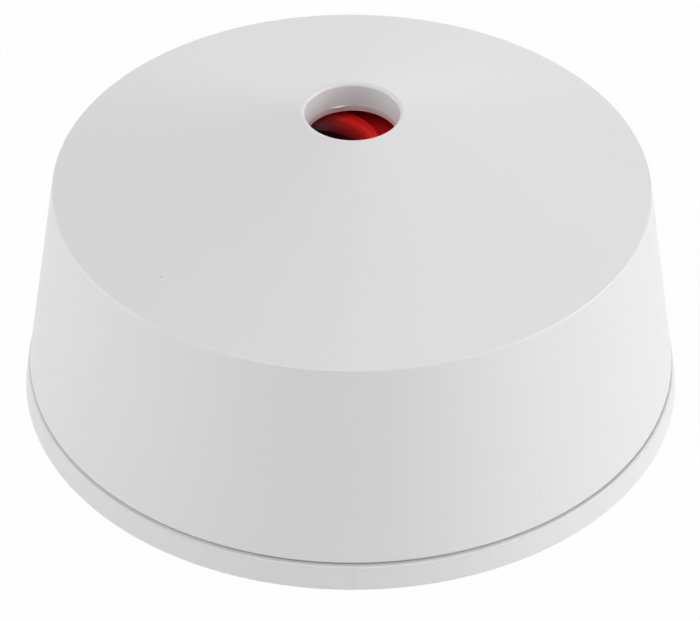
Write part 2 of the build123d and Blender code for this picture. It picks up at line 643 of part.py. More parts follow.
def make_dip_slider(pole):
    """One slider, at the end of its pocket that it is set to."""
    bottom = BOARD_BOTTOM - DIP_HEIGHT - DIP_SLIDER_PROUD
    height = DIP_SLIDER_PROUD + DIP_POCKET_DEPTH - DIP_CLEARANCE
    half_travel = (DIP_POCKET_LENGTH - DIP_SLIDER_LENGTH) / 2 - DIP_CLEARANCE
    x = (pole - (DIP_POLES - 1) / 2) * DIP_PITCH
    with BuildPart() as slider:
        with BuildSketch(Plane.XY.offset(bottom)):
            with Locations((x, DIP_Y + DIP_SET[pole] * half_travel)):
                Rectangle(DIP_POCKET_WIDTH - 2 * DIP_CLEARANCE, DIP_SLIDER_LENGTH)
        extrude(amount=height)
    return slider


def make_trimmer_body():
    """Case of the volume control, with a round pocket for its rotor."""
    bottom = BOARD_BOTTOM - TRIMMER_HEIGHT
    with BuildPart() as trimmer_body:
        with BuildSketch(Plane.XY.offset(bottom)):
            with Locations((TRIMMER_X, DIP_Y)):
                Rectangle(TRIMMER_SIZE, TRIMMER_SIZE)
        extrude(amount=TRIMMER_HEIGHT)
        with BuildSketch(Plane.XY.offset(bottom)):
            with Locations((TRIMMER_X, DIP_Y)):
                Circle(ROTOR_RADIUS + ROTOR_RUNNING_CLEARANCE)
        extrude(amount=ROTOR_POCKET_DEPTH, mode=Mode.SUBTRACT)
    return trimmer_body


def make_trimmer_rotor():
    """Slotted rotor that a screwdriver turns to set the volume."""
    bottom = BOARD_BOTTOM - TRIMMER_HEIGHT - ROTOR_PROUD
    height = ROTOR_PROUD + ROTOR_POCKET_DEPTH - ROTOR_END_CLEARANCE
    with BuildPart() as rotor:
        with BuildSketch(Plane.XY.offset(bottom)):
            with Locations((TRIMMER_X, DIP_Y)):
                Circle(ROTOR_RADIUS)
        extrude(amount=height)
        with BuildSketch(Plane.XY.offset(bottom)):
            with Locations((TRIMMER_X, DIP_Y)):
                Rectangle(ROTOR_SLOT_WIDTH, ROTOR_SLOT_LENGTH)
        extrude(amount=ROTOR_SLOT_DEPTH, mode=Mode.SUBTRACT)
    return rotor


def make_driver_chip():
    """Body of the driver chip on the board's top."""
    with BuildPart() as driver_chip:
        with BuildSketch(Plane.XY.offset(BOARD_TOP + CHIP_STAND_OFF)):
            with Locations((0, CHIP_Y)):
                Rectangle(CHIP_LENGTH, CHIP_WIDTH)
        extrude(amount=CHIP_HEIGHT)
    return driver_chip


def make_driver_chip_pins():
    """Two rows of bent pins: each leaves the chip's side, drops and lies on its pad."""
    side = CHIP_WIDTH / 2
    knee = side + CHIP_PIN_REACH / 2
    toe = side + CHIP_PIN_REACH
    thick = CHIP_PIN_THICKNESS
    with BuildPart() as pins:
        for direction in (-1, 1):
            with BuildSketch(Plane.YZ.offset(-CHIP_PIN_WIDTH / 2)):
                with Locations((CHIP_Y, BOARD_TOP)):
                    Polygon(
                        (direction * side, CHIP_PIN_RISE - thick),
                        (direction * (knee - thick), CHIP_PIN_RISE - thick),
                        (direction * (knee - thick), 0),
                        (direction * toe, 0),
                        (direction * toe, thick),
                        (direction * knee, thick),
                        (direction * knee, CHIP_PIN_RISE),
                        (direction * side, CHIP_PIN_RISE),
                        align=None,
                    )
            extrude(amount=CHIP_PIN_WIDTH)
    with BuildPart() as rows:
        with GridLocations(CHIP_PIN_PITCH, CHIP_PIN_PITCH, CHIP_PINS_PER_SIDE, 1):
            add(pins.part)
    return rows


def make_capacitor_cans():
    """Aluminium cans of the two smoothing capacitors, each with a rolled groove."""
    with BuildPart() as can:
        with BuildSketch(Plane.XZ):
            with BuildLine():
                Polyline(
                    (0, 0),
                    (CAN_RADIUS, 0),
                    (CAN_RADIUS, CAN_GROOVE_HEIGHT - CAN_GROOVE),
                    (CAN_RADIUS - CAN_GROOVE, CAN_GROOVE_HEIGHT),
                    (CAN_RADIUS, CAN_GROOVE_HEIGHT + CAN_GROOVE),
                    (CAN_RADIUS, CAN_HEIGHT),
                    (0, CAN_HEIGHT),
                    close=True,
                )
            make_face()
        revolve(axis=Axis.Z)
    with BuildPart() as capacitor_cans:
        for angle in CAN_ANGLES:
            with Locations((0, 0, BOARD_TOP)):
                with PolarLocations(BOARD_RADIUS - CAN_EDGE_GAP, 1, angle):
                    add(can.part)
    return capacitor_cans


def make_capacitor_sleeves():
    """Shrunk plastic sleeves round the cans, open at the top."""
    inside = CAN_RADIUS + SLEEVE_CLEARANCE
    with BuildPart() as capacitor_sleeves:
        with BuildSketch(Plane.XY.offset(BOARD_TOP)):
            for angle in CAN_ANGLES:
                with PolarLocations(BOARD_RADIUS - CAN_EDGE_GAP, 1, angle):
                    Circle(inside + SLEEVE_WALL)
                    Circle(inside, mode=Mode.SUBTRACT)
        extrude(amount=CAN_HEIGHT)
    return capacitor_sleeves


def make_coil_core():
    """Ferrite drum of the step-up coil."""
    with BuildPart() as coil_core:
        with BuildSketch(Plane.XY.offset(BOARD_TOP)):
            with Locations((BOARD_RADIUS - COIL_EDGE_GAP, 0)):
                Circle(COIL_RADIUS)
        extrude(amount=COIL_HEIGHT)
        with BuildSketch(Plane.XY.offset(BOARD_TOP + COIL_FLANGE)):
            with Locations((BOARD_RADIUS - COIL_EDGE_GAP, 0)):
                Circle(COIL_RADIUS)
                Circle(COIL_CORE_RADIUS, mode=Mode.SUBTRACT)
        extrude(amount=COIL_HEIGHT - 2 * COIL_FLANGE, mode=Mode.SUBTRACT)
    return coil_core


def make_coil_winding():
    """Copper winding between the drum's flanges."""
    with BuildPart() as coil_winding:
        with BuildSketch(Plane.XY.offset(BOARD_TOP + COIL_FLANGE)):
            with Locations((BOARD_RADIUS - COIL_EDGE_GAP, 0)):
                Circle(COIL_RADIUS - COIL_WINDING_INSET)
                Circle(COIL_CORE_RADIUS + COIL_CLEARANCE, mode=Mode.SUBTRACT)
        extrude(amount=COIL_HEIGHT - 2 * COIL_FLANGE)
    return coil_winding


def make_block_row(size, count, pitch, y):
    """Row of equal small components standing on the board."""
    length, width, height = size
    with BuildPart() as row:
        with BuildSketch(Plane.XY.offset(BOARD_TOP)):
            with Locations((0, y)):
                with GridLocations(pitch, pitch, count, 1):
                    Rectangle(length, width)
        extrude(amount=height)
    return row


def make_output_transistors():
    """Two power transistors, each with its row of legs."""
    length, width, height = TRANSISTOR_SIZE
    leg_width, leg_length, leg_thickness = TRANSISTOR_LEG
    with BuildPart() as output_transistors:
        with BuildSketch(Plane.XY.offset(BOARD_TOP)):
            with Locations((-TRANSISTOR_X, TRANSISTOR_Y), (TRANSISTOR_X, TRANSISTOR_Y)):
                Rectangle(length, width)
        extrude(amount=height)
        with BuildSketch(Plane.XY.offset(BOARD_TOP)):
            leg_y = TRANSISTOR_Y - (width + leg_length) / 2
            with Locations((-TRANSISTOR_X, leg_y), (TRANSISTOR_X, leg_y)):
                with GridLocations(TRANSISTOR_LEG_PITCH, leg_length, TRANSISTOR_LEG_COUNT, 1):
                    Rectangle(leg_width, leg_length)
        extrude(amount=leg_thickness)
    return output_transistors


horn_screw = cross_screw(SMALL_SCREW, HORN_FLANGE_THICKNESS + HORN_SCREW_BITE)
board_screw = cross_screw(SMALL_SCREW, BOARD_THICKNESS + BOARD_SCREW_BITE)
chamber_screw = cross_screw(SMALL_SCREW, CHAMBER_FLANGE_THICKNESS + CHAMBER_SCREW_BITE)
terminal_screw = Rot(180, 0, 0) * cross_screw(M3_SCREW, TERMINAL_SCREW_LENGTH)

pieces = {
    "base_plate": make_base_plate(),
    "contact_clips": make_contact_clips(),
    "terminal_washers": make_terminal_washers(),
    "terminal_screws": screw_circle(
        terminal_screw, TERMINAL_CIRCLE, CONTACT_COUNT, CONTACT_START, WASHER_TOP
    ),
    "cover": make_cover(),
    "horn": make_horn(),
    "horn_screws": screw_circle(
        horn_screw, HORN_SCREW_CIRCLE, HORN_SCREW_COUNT, HORN_SCREW_START, HORN_BOTTOM
    ),
    "outlet_seal": make_ring(
        HORN_LIP_RADIUS - HORN_LIP_WALL,
        HORN_LIP_RADIUS,
        HORN_LIP_TOP,
        HORN_LIP_TOP + OUTLET_SEAL_THICKNESS - OUTLET_SEAL_CLEARANCE,
    ),
    "piezo_plate": make_disc(DISC_RADIUS, DISC_BOTTOM, DISC_THICKNESS),
    "piezo_ceramic": make_disc(CERAMIC_RADIUS, DISC_BOTTOM - CERAMIC_THICKNESS, CERAMIC_THICKNESS),
    "edge_seal": make_ring(CAVITY_RADIUS, DISC_RADIUS, HORN_BOTTOM, DISC_BOTTOM),
    "rear_chamber": make_rear_chamber(),
    "chamber_screws": screw_circle(
        chamber_screw,
        CHAMBER_SCREW_CIRCLE,
        CHAMBER_SCREW_COUNT,
        0,
        HORN_BOTTOM - CHAMBER_FLANGE_THICKNESS,
    ),
    "lead_live": make_lead(LEAD_LIVE_X, DISC_BOTTOM - CERAMIC_THICKNESS),
    "lead_return": make_lead(LEAD_RETURN_X, DISC_BOTTOM),
    "circuit_board": make_circuit_board(),
    "board_screws": screw_circle(
        board_screw, BOARD_SCREW_CIRCLE, BOARD_SCREW_COUNT, BOARD_SCREW_START, BOARD_BOTTOM
    ),
    "contact_blades": make_contact_blades(),
    "dip_switch_body": make_dip_switch_body(),
    "trimmer_body": make_trimmer_body(),
    "trimmer_rotor": make_trimmer_rotor(),
    "driver_chip": make_driver_chip(),
    "driver_chip_pins": make_driver_chip_pins(),
    "capacitor_cans": make_capacitor_cans(),
    "capacitor_sleeves": make_capacitor_sleeves(),
    "coil_core": make_coil_core(),
    "coil_winding": make_coil_winding(),
    "rectifier_diodes": make_block_row(DIODE_SIZE, DIODE_COUNT, DIODE_PITCH, DIODE_Y),
    "chip_resistors": make_block_row(RESISTOR_SIZE, RESISTOR_COUNT, RESISTOR_PITCH, RESISTOR_Y),
    "output_transistors": make_output_transistors(),
}
for pole in range(DIP_POLES):
    pieces[f"dip_slider_{pole + 1}"] = make_dip_slider(pole)

os.makedirs("parts", exist_ok=True)
for node_name, piece in pieces.items():
    piece.part.label = node_name
    export_step(piece.part, f"parts/{node_name}.step")
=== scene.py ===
import json
import math

import bpy
import numpy as np
from mathutils import Matrix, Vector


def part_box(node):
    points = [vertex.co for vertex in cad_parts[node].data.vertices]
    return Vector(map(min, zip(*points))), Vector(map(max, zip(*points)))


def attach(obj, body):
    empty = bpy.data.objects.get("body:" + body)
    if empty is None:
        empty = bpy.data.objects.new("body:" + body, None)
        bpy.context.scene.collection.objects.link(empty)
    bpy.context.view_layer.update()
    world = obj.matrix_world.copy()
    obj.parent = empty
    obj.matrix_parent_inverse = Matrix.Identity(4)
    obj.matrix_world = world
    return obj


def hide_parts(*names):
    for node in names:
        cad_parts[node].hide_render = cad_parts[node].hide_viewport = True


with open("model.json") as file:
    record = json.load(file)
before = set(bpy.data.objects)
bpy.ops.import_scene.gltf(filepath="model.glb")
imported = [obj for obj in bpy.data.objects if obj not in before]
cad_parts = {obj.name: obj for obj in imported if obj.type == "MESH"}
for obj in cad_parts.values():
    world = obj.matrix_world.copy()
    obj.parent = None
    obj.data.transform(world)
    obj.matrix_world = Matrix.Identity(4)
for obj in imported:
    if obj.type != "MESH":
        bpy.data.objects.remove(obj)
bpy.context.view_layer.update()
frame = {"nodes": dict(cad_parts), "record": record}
MM = 0.001

# Camera: where it stands, how far it looks down and how long its lens is
CAMERA_DISTANCE = 0.6798
CAMERA_ELEVATION = 39.134
CAMERA_LOOK_DOWN = 38.224
CAMERA_ROLL = 0.358
CAMERA_LENS = 200.47
CAMERA_SENSOR = 36.0
CAMERA_SHIFT = -0.0016

# Room: how bright the walls and the floor are, and where the floor lies
ROOM_LIGHT = 0.2
FLOOR_SIZE = 3.0
FLOOR_ALBEDO = 0.82
FLOOR_MOTTLE = 0.01
FLOOR_GLOW = 0.97
FLOOR_DROP = 0.0002

# Outlet neck: its thin end, with a painted warm band of red light from the horn and a
# painted dark line of shade on it
NECK_RADIUS = 7.72 * MM
NECK_THIN_HEIGHT = 51.2 * MM
PAINTED_RED_FADE = 0.25 * MM
PAINTED_RED_REACH = 1.1 * NECK_RADIUS
SHADE_LINE_HALF_WIDTH = 0.16 * MM
SHADE_LINE_REACH = 9 * MM

# Nick of moulding flash on the inside of the neck; the angles are in degrees
FLASH_BURIED = 0.05 * MM
FLASH_RISE = 0.3 * MM
FLASH_HALF_WIDTH = 0.26 * MM
FLASH_ANGLE = 107.0
FLASH_SPAN = 8.0
FLASH_TAIL = 3

# Ledge of the base plate, just outside the foot of the cover, with painted shade on it
LEDGE_RADIUS = 55.3 * MM
LEDGE_HEIGHT = 4.1 * MM
LEDGE_SHADE_BAND = 0.6 * MM

# Scuffs on the shell: how rare they are, and how fast they fade up from the wall
SCUFF_LEVEL = 0.66
SCUFF_FADE_PER_METRE = 40.0

# Throat of the horn, with shade painted darker down in it
THROAT_MIDDLE = (-6.0 * MM, 0.35 * MM)
THROAT_RADIUS = 8.9 * MM
THROAT_SHADE_TOP = 48.2 * MM
THROAT_SHADE_DEPTH = 2.3 * MM

# Step-up coil: turns of enamelled wire that wave a little, just inside the plain winding
WIRE_RADIUS = 0.3 * MM
WIRE_CLEARANCE = 0.05 * MM
WIRE_WAVE = 0.04 * MM
WIRE_WAVES_PER_TURN = 0.37
COIL_TURNS = 11
STEPS_PER_TURN = 44

# Legs and solder on the circuit board
SOLDER_RADIUS = 0.8 * MM
SOLDER_HOLLOW = 2.4
SOLDER_SHARE = 0.7
LEG_RADIUS = 0.28 * MM
LEG_LENGTH = 1.4 * MM
SWITCH_POLES = 5
SWITCH_MIDDLE_Y = -24.0 * MM
SWITCH_PITCH = 2.54 * MM
SWITCH_ROW = 3.81 * MM
TRIMMER_LEGS = [(13.0 * MM, -26.5 * MM), (18.0 * MM, -26.5 * MM), (15.5 * MM, -21.5 * MM)]
COIL_LEGS = [(34.0 * MM, 0.0), (39.0 * MM, 0.0)]

# Drops of solder on the sounder disc, and how far in from a lead's end they sit
DROP_RADIUS = 1.15 * MM
DROP_DEPTH = 0.8 * MM
LEAD_END = 0.6 * MM

# What is left open at the end of a turned shape, so that its cap has a size
TIP_OPENING = 0.02

# Ejector marks under the base plate
MARK_COUNT = 8
MARK_CIRCLE = 46.0 * MM
MARK_RADIUS = 2.4 * MM
MARK_RISE = 0.05 * MM
DECK_UNDERSIDE = 2.2 * MM

# Capacitor cans: how far left and to either side their middles are, their legs (in mm),
# the score on top and the stripe on the sleeve
CAN_MIDDLE = (37.46 * MM, 6.6 * MM)
CAN_LEGS_Y = (-8.4, -4.8, 4.8, 8.4)
CAN_SCORE_HALF_WIDTH = 0.16 * MM
CAN_STRIPE_OFFSET = 3.4 * MM

# Marks on the chips: pin-1 dimple, diode bands, and the resistors' tinned ends
DIMPLE_MIDDLE = (-3.9 * MM, 8.0 * MM)
DIMPLE_RADIUS = 0.4 * MM
DIODE_START = -15.0 * MM
DIODE_PITCH = 6.0 * MM
DIODE_BAND = (4.2 * MM, 4.8 * MM)
DIODE_EDGE = -28.5 * MM
RESISTOR_ROW = 24.0 * MM
RESISTOR_GLAZED_HALF = 0.68 * MM

# Fine patterns, in repeats or features per metre
MOULDED_GRAIN = 1800
ROLLED_LINES = 9000
ROLLED_STRETCH = 60
PRINT_WEAVE = 12000
BOARD_TRACKS = 520


class Signal:
    """A shader socket that takes part in sums: each operator adds one Math node."""

    def __init__(self, finish, socket):
        self.finish = finish
        self.socket = socket

    def math(self, operation, *values):
        """A Math node whose inputs are the given values in order."""
        inputs = dict(enumerate(values))
        return self.finish.node("ShaderNodeMath", {"operation": operation}, inputs)

    def __add__(self, other):
        return self.math("ADD", self, other)

    def __sub__(self, other):
        return self.math("SUBTRACT", self, other)

    def __rsub__(self, other):
        return self.math("SUBTRACT", other, self)

    def __mul__(self, other):
        return self.math("MULTIPLY", self, other)

    def __truediv__(self, other):
        return self.math("DIVIDE", self, other)

    def __rtruediv__(self, other):
        return self.math("DIVIDE", other, self)

    def __pow__(self, other):
        return self.math("POWER", self, other)

    def __gt__(self, other):
        return self.math("GREATER_THAN", self, other)

    def __lt__(self, other):
        return self.math("LESS_THAN", self, other)

    def __mod__(self, other):
        return self.math("FLOORED_MODULO", self, other)

    def __abs__(self):
        return self.math("ABSOLUTE", self)

    def sine(self):
        """Sine of the value in radians."""
        return self.math("SINE", self)

    def limited(self):
        """The value kept between 0 and 1."""
        return self.finish.node("ShaderNodeClamp", {}, {0: self})

    __radd__ = __add__
    __rmul__ = __mul__


class Finish:
    """A material being made: its node tree, its Principled shader and its patterns."""

    def __init__(self, name, **constants):
        self.material = bpy.data.materials.new(name)
        self.material.use_nodes = True
        self.tree = self.material.node_tree
        self.shader = self.tree.nodes["Principled BSDF"]
        for words, value in constants.items():
            self.shader.inputs[words.replace("_", " ")].default_value = value

    def node(self, kind, settings, inputs, output=0):
        """Any node: its type, its settings first, then its socket values or links."""
        made = self.tree.nodes.new(kind)
        for key, value in settings.items():
            setattr(made, key, value)
        for key, value in inputs.items():
            if isinstance(value, Signal):
                self.tree.links.new(value.socket, made.inputs[key])
            else:
                made.inputs[key].default_value = value
        return Signal(self, made.outputs[output])

    def place(self):
        """The point being shaded, in the object's own metres."""
        return self.node("ShaderNodeTexCoord", {}, {}, "Object")

    def along(self, axis):
        """One coordinate of the point being shaded."""
        return self.node("ShaderNodeSeparateXYZ", {}, {0: self.place()}, axis)

    def noise(self, scale, detail=2.0, roughness=0.5, vector=None):
        """Smooth noise between 0 and 1, with a feature about 1/scale metres wide."""
        where = vector or self.place()
        return self.node(
            "ShaderNodeTexNoise",
            {},
            {"Vector": where, "Scale": scale, "Detail": detail, "Roughness": roughness},
            "Fac",
        )

    def stretched(self, x, y, z):
        """The point being shaded, scaled by a factor along each axis."""
        inputs = {0: self.place(), 1: (x, y, z)}
        return self.node("ShaderNodeVectorMath", {"operation": "MULTIPLY"}, inputs)

    def cells(self, scale, output="Distance"):
        """Voronoi cells: the distance to the nearest cell's middle, or its colour."""
        return self.node(
            "ShaderNodeTexVoronoi", {}, {"Vector": self.place(), "Scale": scale}, output
        )

    def specks(self, scale, size, share):
        """1 in a few small round specks, and 0 elsewhere."""
        chance = self.node(
            "ShaderNodeSeparateColor", {}, {0: self.cells(scale, "Color")}, "Red"
        )
        return (self.cells(scale) < size) * (chance < share)

    def blend(self, factor, first, second):
        """Colour mix: first where the factor is 0, second where it is 1."""
        inputs = {0: factor, 6: self.colour(first), 7: self.colour(second)}
        return self.node("ShaderNodeMix", {"data_type": "RGBA"}, inputs, 2)

    def colour(self, value):
        """A colour as a socket takes it: a link as it is, three numbers with an alpha."""
        return value if isinstance(value, Signal) else (*value, 1.0)

    def bump(self, height, depth):
        """Bump from a height between 0 and 1 that stands for a depth in metres."""
        inputs = {"Height": height, "Distance": depth, "Strength": 1.0}
        return self.node("ShaderNodeBump", {}, inputs, "Normal")

    def feed(self, **links):
        """Links the patterns to the shader's sockets and gives the material back."""
        for words, value in links.items():
            self.tree.links.new(value.socket, self.shader.inputs[words.replace("_", " ")])
        return self.material


def make_white_abs():
    """White moulded shell: satin, flow marks, fine spark texture, rare dust and scuffs.

    Painted shade darkens the base plate's step by the cover's foot, and a painted warm
    band of red light from the horn lies on the lower end of the neck, under a painted
    dark line of shade.
    """
    finish = Finish("white_abs", IOR=1.52, Specular_IOR_Level=0.45)
    east, north, height = (finish.along(axis) for axis in "XYZ")
    reach = (east**2 + north**2) ** 0.5
    cloud = finish.noise(28, 3.0)
    grain = finish.noise(2600, 2.0)
    smeared = finish.stretched(1.0, 1.0, 0.15)
    scuff = finish.noise(240, 4.0, 0.7, smeared) > SCUFF_LEVEL
    handled = (1.0 - height * SCUFF_FADE_PER_METRE).limited() * scuff
    dust = finish.specks(260, 0.05, 0.02)
    # Painted shade on the base plate's step just outside the cover's foot
    band = (height > LEDGE_HEIGHT) * (height < LEDGE_HEIGHT + LEDGE_SHADE_BAND)
    painted_ledge_shade = (reach > LEDGE_RADIUS) * band
    # Painted warm light: red from the horn shown on the lower end of the neck
    below = ((NECK_THIN_HEIGHT - height) / PAINTED_RED_FADE).limited()
    painted_red_light = (reach < PAINTED_RED_REACH) * below
    # Painted shade: a dark line round the neck at the top of the warm band
    near = (1.0 - abs(height - NECK_THIN_HEIGHT) / SHADE_LINE_HALF_WIDTH).limited()
    painted_shade_line = near * (reach < SHADE_LINE_REACH)
    shell = finish.blend(cloud, (0.775, 0.775, 0.782), (0.805, 0.800, 0.800))
    colour = finish.blend(dust * 0.45 + 0.04 * handled, shell, (0.34, 0.28, 0.26))
    colour = finish.blend(painted_ledge_shade * (0.05 + 0.06 * cloud), colour, (0.30, 0.28, 0.27))
    colour = finish.blend(0.75 * painted_red_light, colour, (0.70, 0.42, 0.43))
    colour = finish.blend(0.35 * painted_shade_line, colour, (0.20, 0.12, 0.12))
    roughness = 0.34 + 0.06 * cloud + 0.05 * grain + 0.1 * handled
    return finish.feed(
        Base_Color=colour, Roughness=roughness, Normal=finish.bump(grain, 0.003 * MM)
    )


def make_red_abs():
    """Polished red moulding: soft ripples and flow lines, with painted shade dark down in
    the throat.
    """
    finish = Finish("red_abs", IOR=1.5, Specular_IOR_Level=0.22)
    ripple = finish.noise(420, 2.0)
    flow = finish.noise(160, 3.0, 0.6, finish.stretched(1.0, 0.35, 1.0))
    # Painted shade: the throat darkens with depth below its top
    east = finish.along("X") - THROAT_MIDDLE[0]
    north = finish.along("Y") - THROAT_MIDDLE[1]
    inside = (east**2 + north**2) ** 0.5 < THROAT_RADIUS
    depth = ((THROAT_SHADE_TOP - finish.along("Z")) / THROAT_SHADE_DEPTH).limited()
    colour = finish.blend(flow, (0.72, 0.014, 0.013), (0.84, 0.022, 0.018))
    colour = finish.blend(inside * depth**0.8, colour, (0.050, 0.005, 0.007))
    return finish.feed(
        Base_Color=colour,
        Roughness=0.24 + 0.08 * flow,
        Normal=finish.bump(ripple, 0.010 * MM),
    )


def make_moulding(name, dark, light, roughness):
    """Plain moulded plastic: two close shades, fine grain and uneven gloss."""
    finish = Finish(name, IOR=1.5)
    cloud = finish.noise(110, 3.0)
    grain = finish.noise(MOULDED_GRAIN, 2.0)
    return finish.feed(
        Base_Color=finish.blend(cloud, dark, light),
        Roughness=roughness + 0.08 * cloud + 0.06 * grain,
        Normal=finish.bump(grain, 0.005 * MM),
    )


def make_silicone():
    """Soft grey seal: matt, slightly dusty, with a soft wavy skin."""
    finish = Finish("silicone", IOR=1.42)
    dust = finish.noise(900, 4.0, 0.7)
    wave = finish.noise(240, 2.0)
    return finish.feed(
        Base_Color=finish.blend(dust, (0.20, 0.20, 0.21), (0.31, 0.31, 0.32)),
        Roughness=0.62 + 0.2 * dust,
        Normal=finish.bump(wave, 0.02 * MM),
    )


def make_rolled_metal(name, dark, light, roughness):
    """Rolled or drawn metal: fine lines one way, tarnish clouds and small marks."""
    finish = Finish(name)
    along = ROLLED_LINES / ROLLED_STRETCH
    rolled = finish.noise(1.0, 3.0, 0.6, finish.stretched(ROLLED_LINES, along, along))
    tarnish = finish.noise(180, 4.0, 0.6)
    return finish.feed(
        Base_Color=finish.blend(tarnish, dark, light),
        Metallic=0.94 + 0.06 * tarnish,
        Roughness=roughness + 0.12 * rolled + 0.08 * tarnish,
        Normal=finish.bump(rolled, 0.002 * MM),
    )


def make_zinc_plate():
    """Bright zinc on screws and washers: cool shine, passivation tint, handling marks."""
    finish = Finish("zinc_steel")
    tint = finish.noise(520, 3.0)
    wear = finish.noise(2400, 3.0, 0.65)
    plated = finish.blend(tint, (0.58, 0.60, 0.63), (0.72, 0.71, 0.66))
    return finish.feed(
        Base_Color=plated,
        Metallic=0.92 + 0.08 * wear,
        Roughness=0.24 + 0.16 * wear,
        Normal=finish.bump(wear, 0.004 * MM),
    )


def make_disc_ceramic():
    """Silvered ceramic disc: dull screen-printed silver over pale fired ceramic."""
    finish = Finish("disc_ceramic")
    east, north = ((finish.along(axis) * PRINT_WEAVE).sine() for axis in "XY")
    mesh = east * north * 0.5 + 0.5
    patch = finish.noise(260, 3.0)
    return finish.feed(
        Base_Color=finish.blend(patch, (0.62, 0.61, 0.57), (0.78, 0.77, 0.73)),
        Metallic=0.45 + 0.25 * patch,
        Roughness=0.42 + 0.12 * mesh,
        Normal=finish.bump(mesh, 0.003 * MM),
    )


def make_board_laminate():
    """Green board: solder resist over square-run tracks, tinned pads in a grid."""
    finish = Finish("board_laminate", IOR=1.5, Coat_Roughness=0.1)
    east = finish.along("X")
    north = finish.along("Y")
    block = finish.node(
        "ShaderNodeSeparateColor", {}, {0: finish.cells(90, "Color")}, "Green"
    )
    across, up = (abs((way * BOARD_TRACKS) % 1.0 - 0.5) < 0.2 for way in (east, north))
    lean = block > 0.5
    track = (across * lean + up * (1.0 - lean)) * (finish.noise(70, 1.0) > 0.47)
    glass = finish.noise(1500, 2.0)
    resist = finish.blend(glass, (0.010, 0.105, 0.040), (0.016, 0.150, 0.060))
    over_copper = finish.blend(glass, (0.030, 0.210, 0.070), (0.040, 0.250, 0.090))
    return finish.feed(
        Base_Color=finish.blend(track, resist, over_copper),
        Roughness=0.28 + 0.1 * glass,
        Coat_Weight=0.35 + 0.25 * glass,
        Normal=finish.bump(track, 0.03 * MM),
    )


def make_chip_epoxy():
    """Black moulded epoxy: matt, with a pin-1 dimple and pale bands on the diodes."""
    finish = Finish("chip_epoxy", IOR=1.5)
    filler = finish.noise(5200, 3.0, 0.7)
    east, north = finish.along("X"), finish.along("Y")
    apart = (east - DIMPLE_MIDDLE[0]) ** 2 + (north - DIMPLE_MIDDLE[1]) ** 2
    dimple = apart < DIMPLE_RADIUS**2
    step = (east - DIODE_START) % DIODE_PITCH
    band = (step > DIODE_BAND[0]) * (step < DIODE_BAND[1]) * (north < DIODE_EDGE)
    black = finish.blend(filler, (0.012, 0.012, 0.013), (0.040, 0.040, 0.042))
    return finish.feed(
        Base_Color=finish.blend(band, black, (0.55, 0.55, 0.54)),
        Roughness=0.5 + 0.2 * filler,
        Normal=finish.bump(0.2 * filler + 0.8 * (1.0 - dimple), 0.04 * MM),
    )


def make_can_aluminium():
    """Capacitor can: spun aluminium with a scored cross on its top."""
    finish = Finish("can_aluminium")
    spun = finish.noise(1.0, 3.0, 0.6, finish.stretched(300, 300, 9000))
    east = abs(finish.along("X") + CAN_MIDDLE[0])
    north = abs(abs(finish.along("Y")) - CAN_MIDDLE[1])
    score = ((east < CAN_SCORE_HALF_WIDTH) + (north < CAN_SCORE_HALF_WIDTH)).limited()
    return finish.feed(
        Base_Color=finish.blend(spun, (0.70, 0.71, 0.72), (0.83, 0.84, 0.85)),
        Metallic=0.94 + 0.06 * spun,
        Roughness=0.22 + 0.16 * spun,
        Normal=finish.bump(1.0 - score, 0.12 * MM),
    )


def make_sleeve():
    """Shrunk sleeve on a can: glossy black with a pale stripe on its outer side."""
    finish = Finish("sleeve_black", IOR=1.5)
    crease = finish.noise(700, 2.0)
    stripe = finish.along("X") < -CAN_MIDDLE[0] - CAN_STRIPE_OFFSET
    black = finish.blend(crease, (0.010, 0.010, 0.014), (0.020, 0.020, 0.026))
    return finish.feed(
        Base_Color=finish.blend(stripe, black, (0.52, 0.53, 0.55)),
        Roughness=0.16 + 0.14 * crease,
        Normal=finish.bump(crease, 0.02 * MM),
    )


def make_resistor():
    """Chip resistor: black glazed middle with tinned ends."""
    finish = Finish("resistor_ceramic")
    glaze = finish.noise(2600, 2.0)
    ends = abs(finish.along("Y") - RESISTOR_ROW) > RESISTOR_GLAZED_HALF
    black = finish.blend(glaze, (0.016, 0.016, 0.020), (0.034, 0.034, 0.040))
    return finish.feed(
        Base_Color=finish.blend(ends, black, (0.70, 0.71, 0.72)),
        Metallic=0.95 * ends,
        Roughness=0.22 + 0.18 * glaze,
        Normal=finish.bump(glaze, 0.006 * MM),
    )


def make_enamelled_copper():
    """Copper wire under clear enamel: warm metal with darker bands of varnish."""
    finish = Finish("enamelled_copper", Coat_Roughness=0.08)
    varnish = finish.noise(700, 3.0)
    return finish.feed(
        Base_Color=finish.blend(varnish, (0.42, 0.13, 0.04), (0.66, 0.27, 0.10)),
        Metallic=0.85 + 0.15 * varnish,
        Roughness=0.22 + 0.12 * varnish,
        Coat_Weight=0.6 + 0.3 * varnish,
    )


def make_ferrite():
    """Pressed and fired ferrite: near black, granular, faintly glossy."""
    finish = Finish("ferrite", IOR=1.9)
    grit = finish.noise(3600, 3.0, 0.7)
    return finish.feed(
        Base_Color=finish.blend(grit, (0.030, 0.030, 0.033), (0.085, 0.083, 0.085)),
        Roughness=0.38 + 0.25 * grit,
        Normal=finish.bump(grit, 0.015 * MM),
    )


def make_tin_plate():
    """Dull tin and solder: bright metal with soft frosted patches."""
    finish = Finish("tin_plate")
    frost = finish.noise(1900, 3.0)
    return finish.feed(
        Base_Color=finish.blend(frost, (0.55, 0.56, 0.57), (0.74, 0.75, 0.76)),
        Metallic=0.9 + 0.1 * frost,
        Roughness=0.26 + 0.22 * frost,
        Normal=finish.bump(frost, 0.006 * MM),
    )


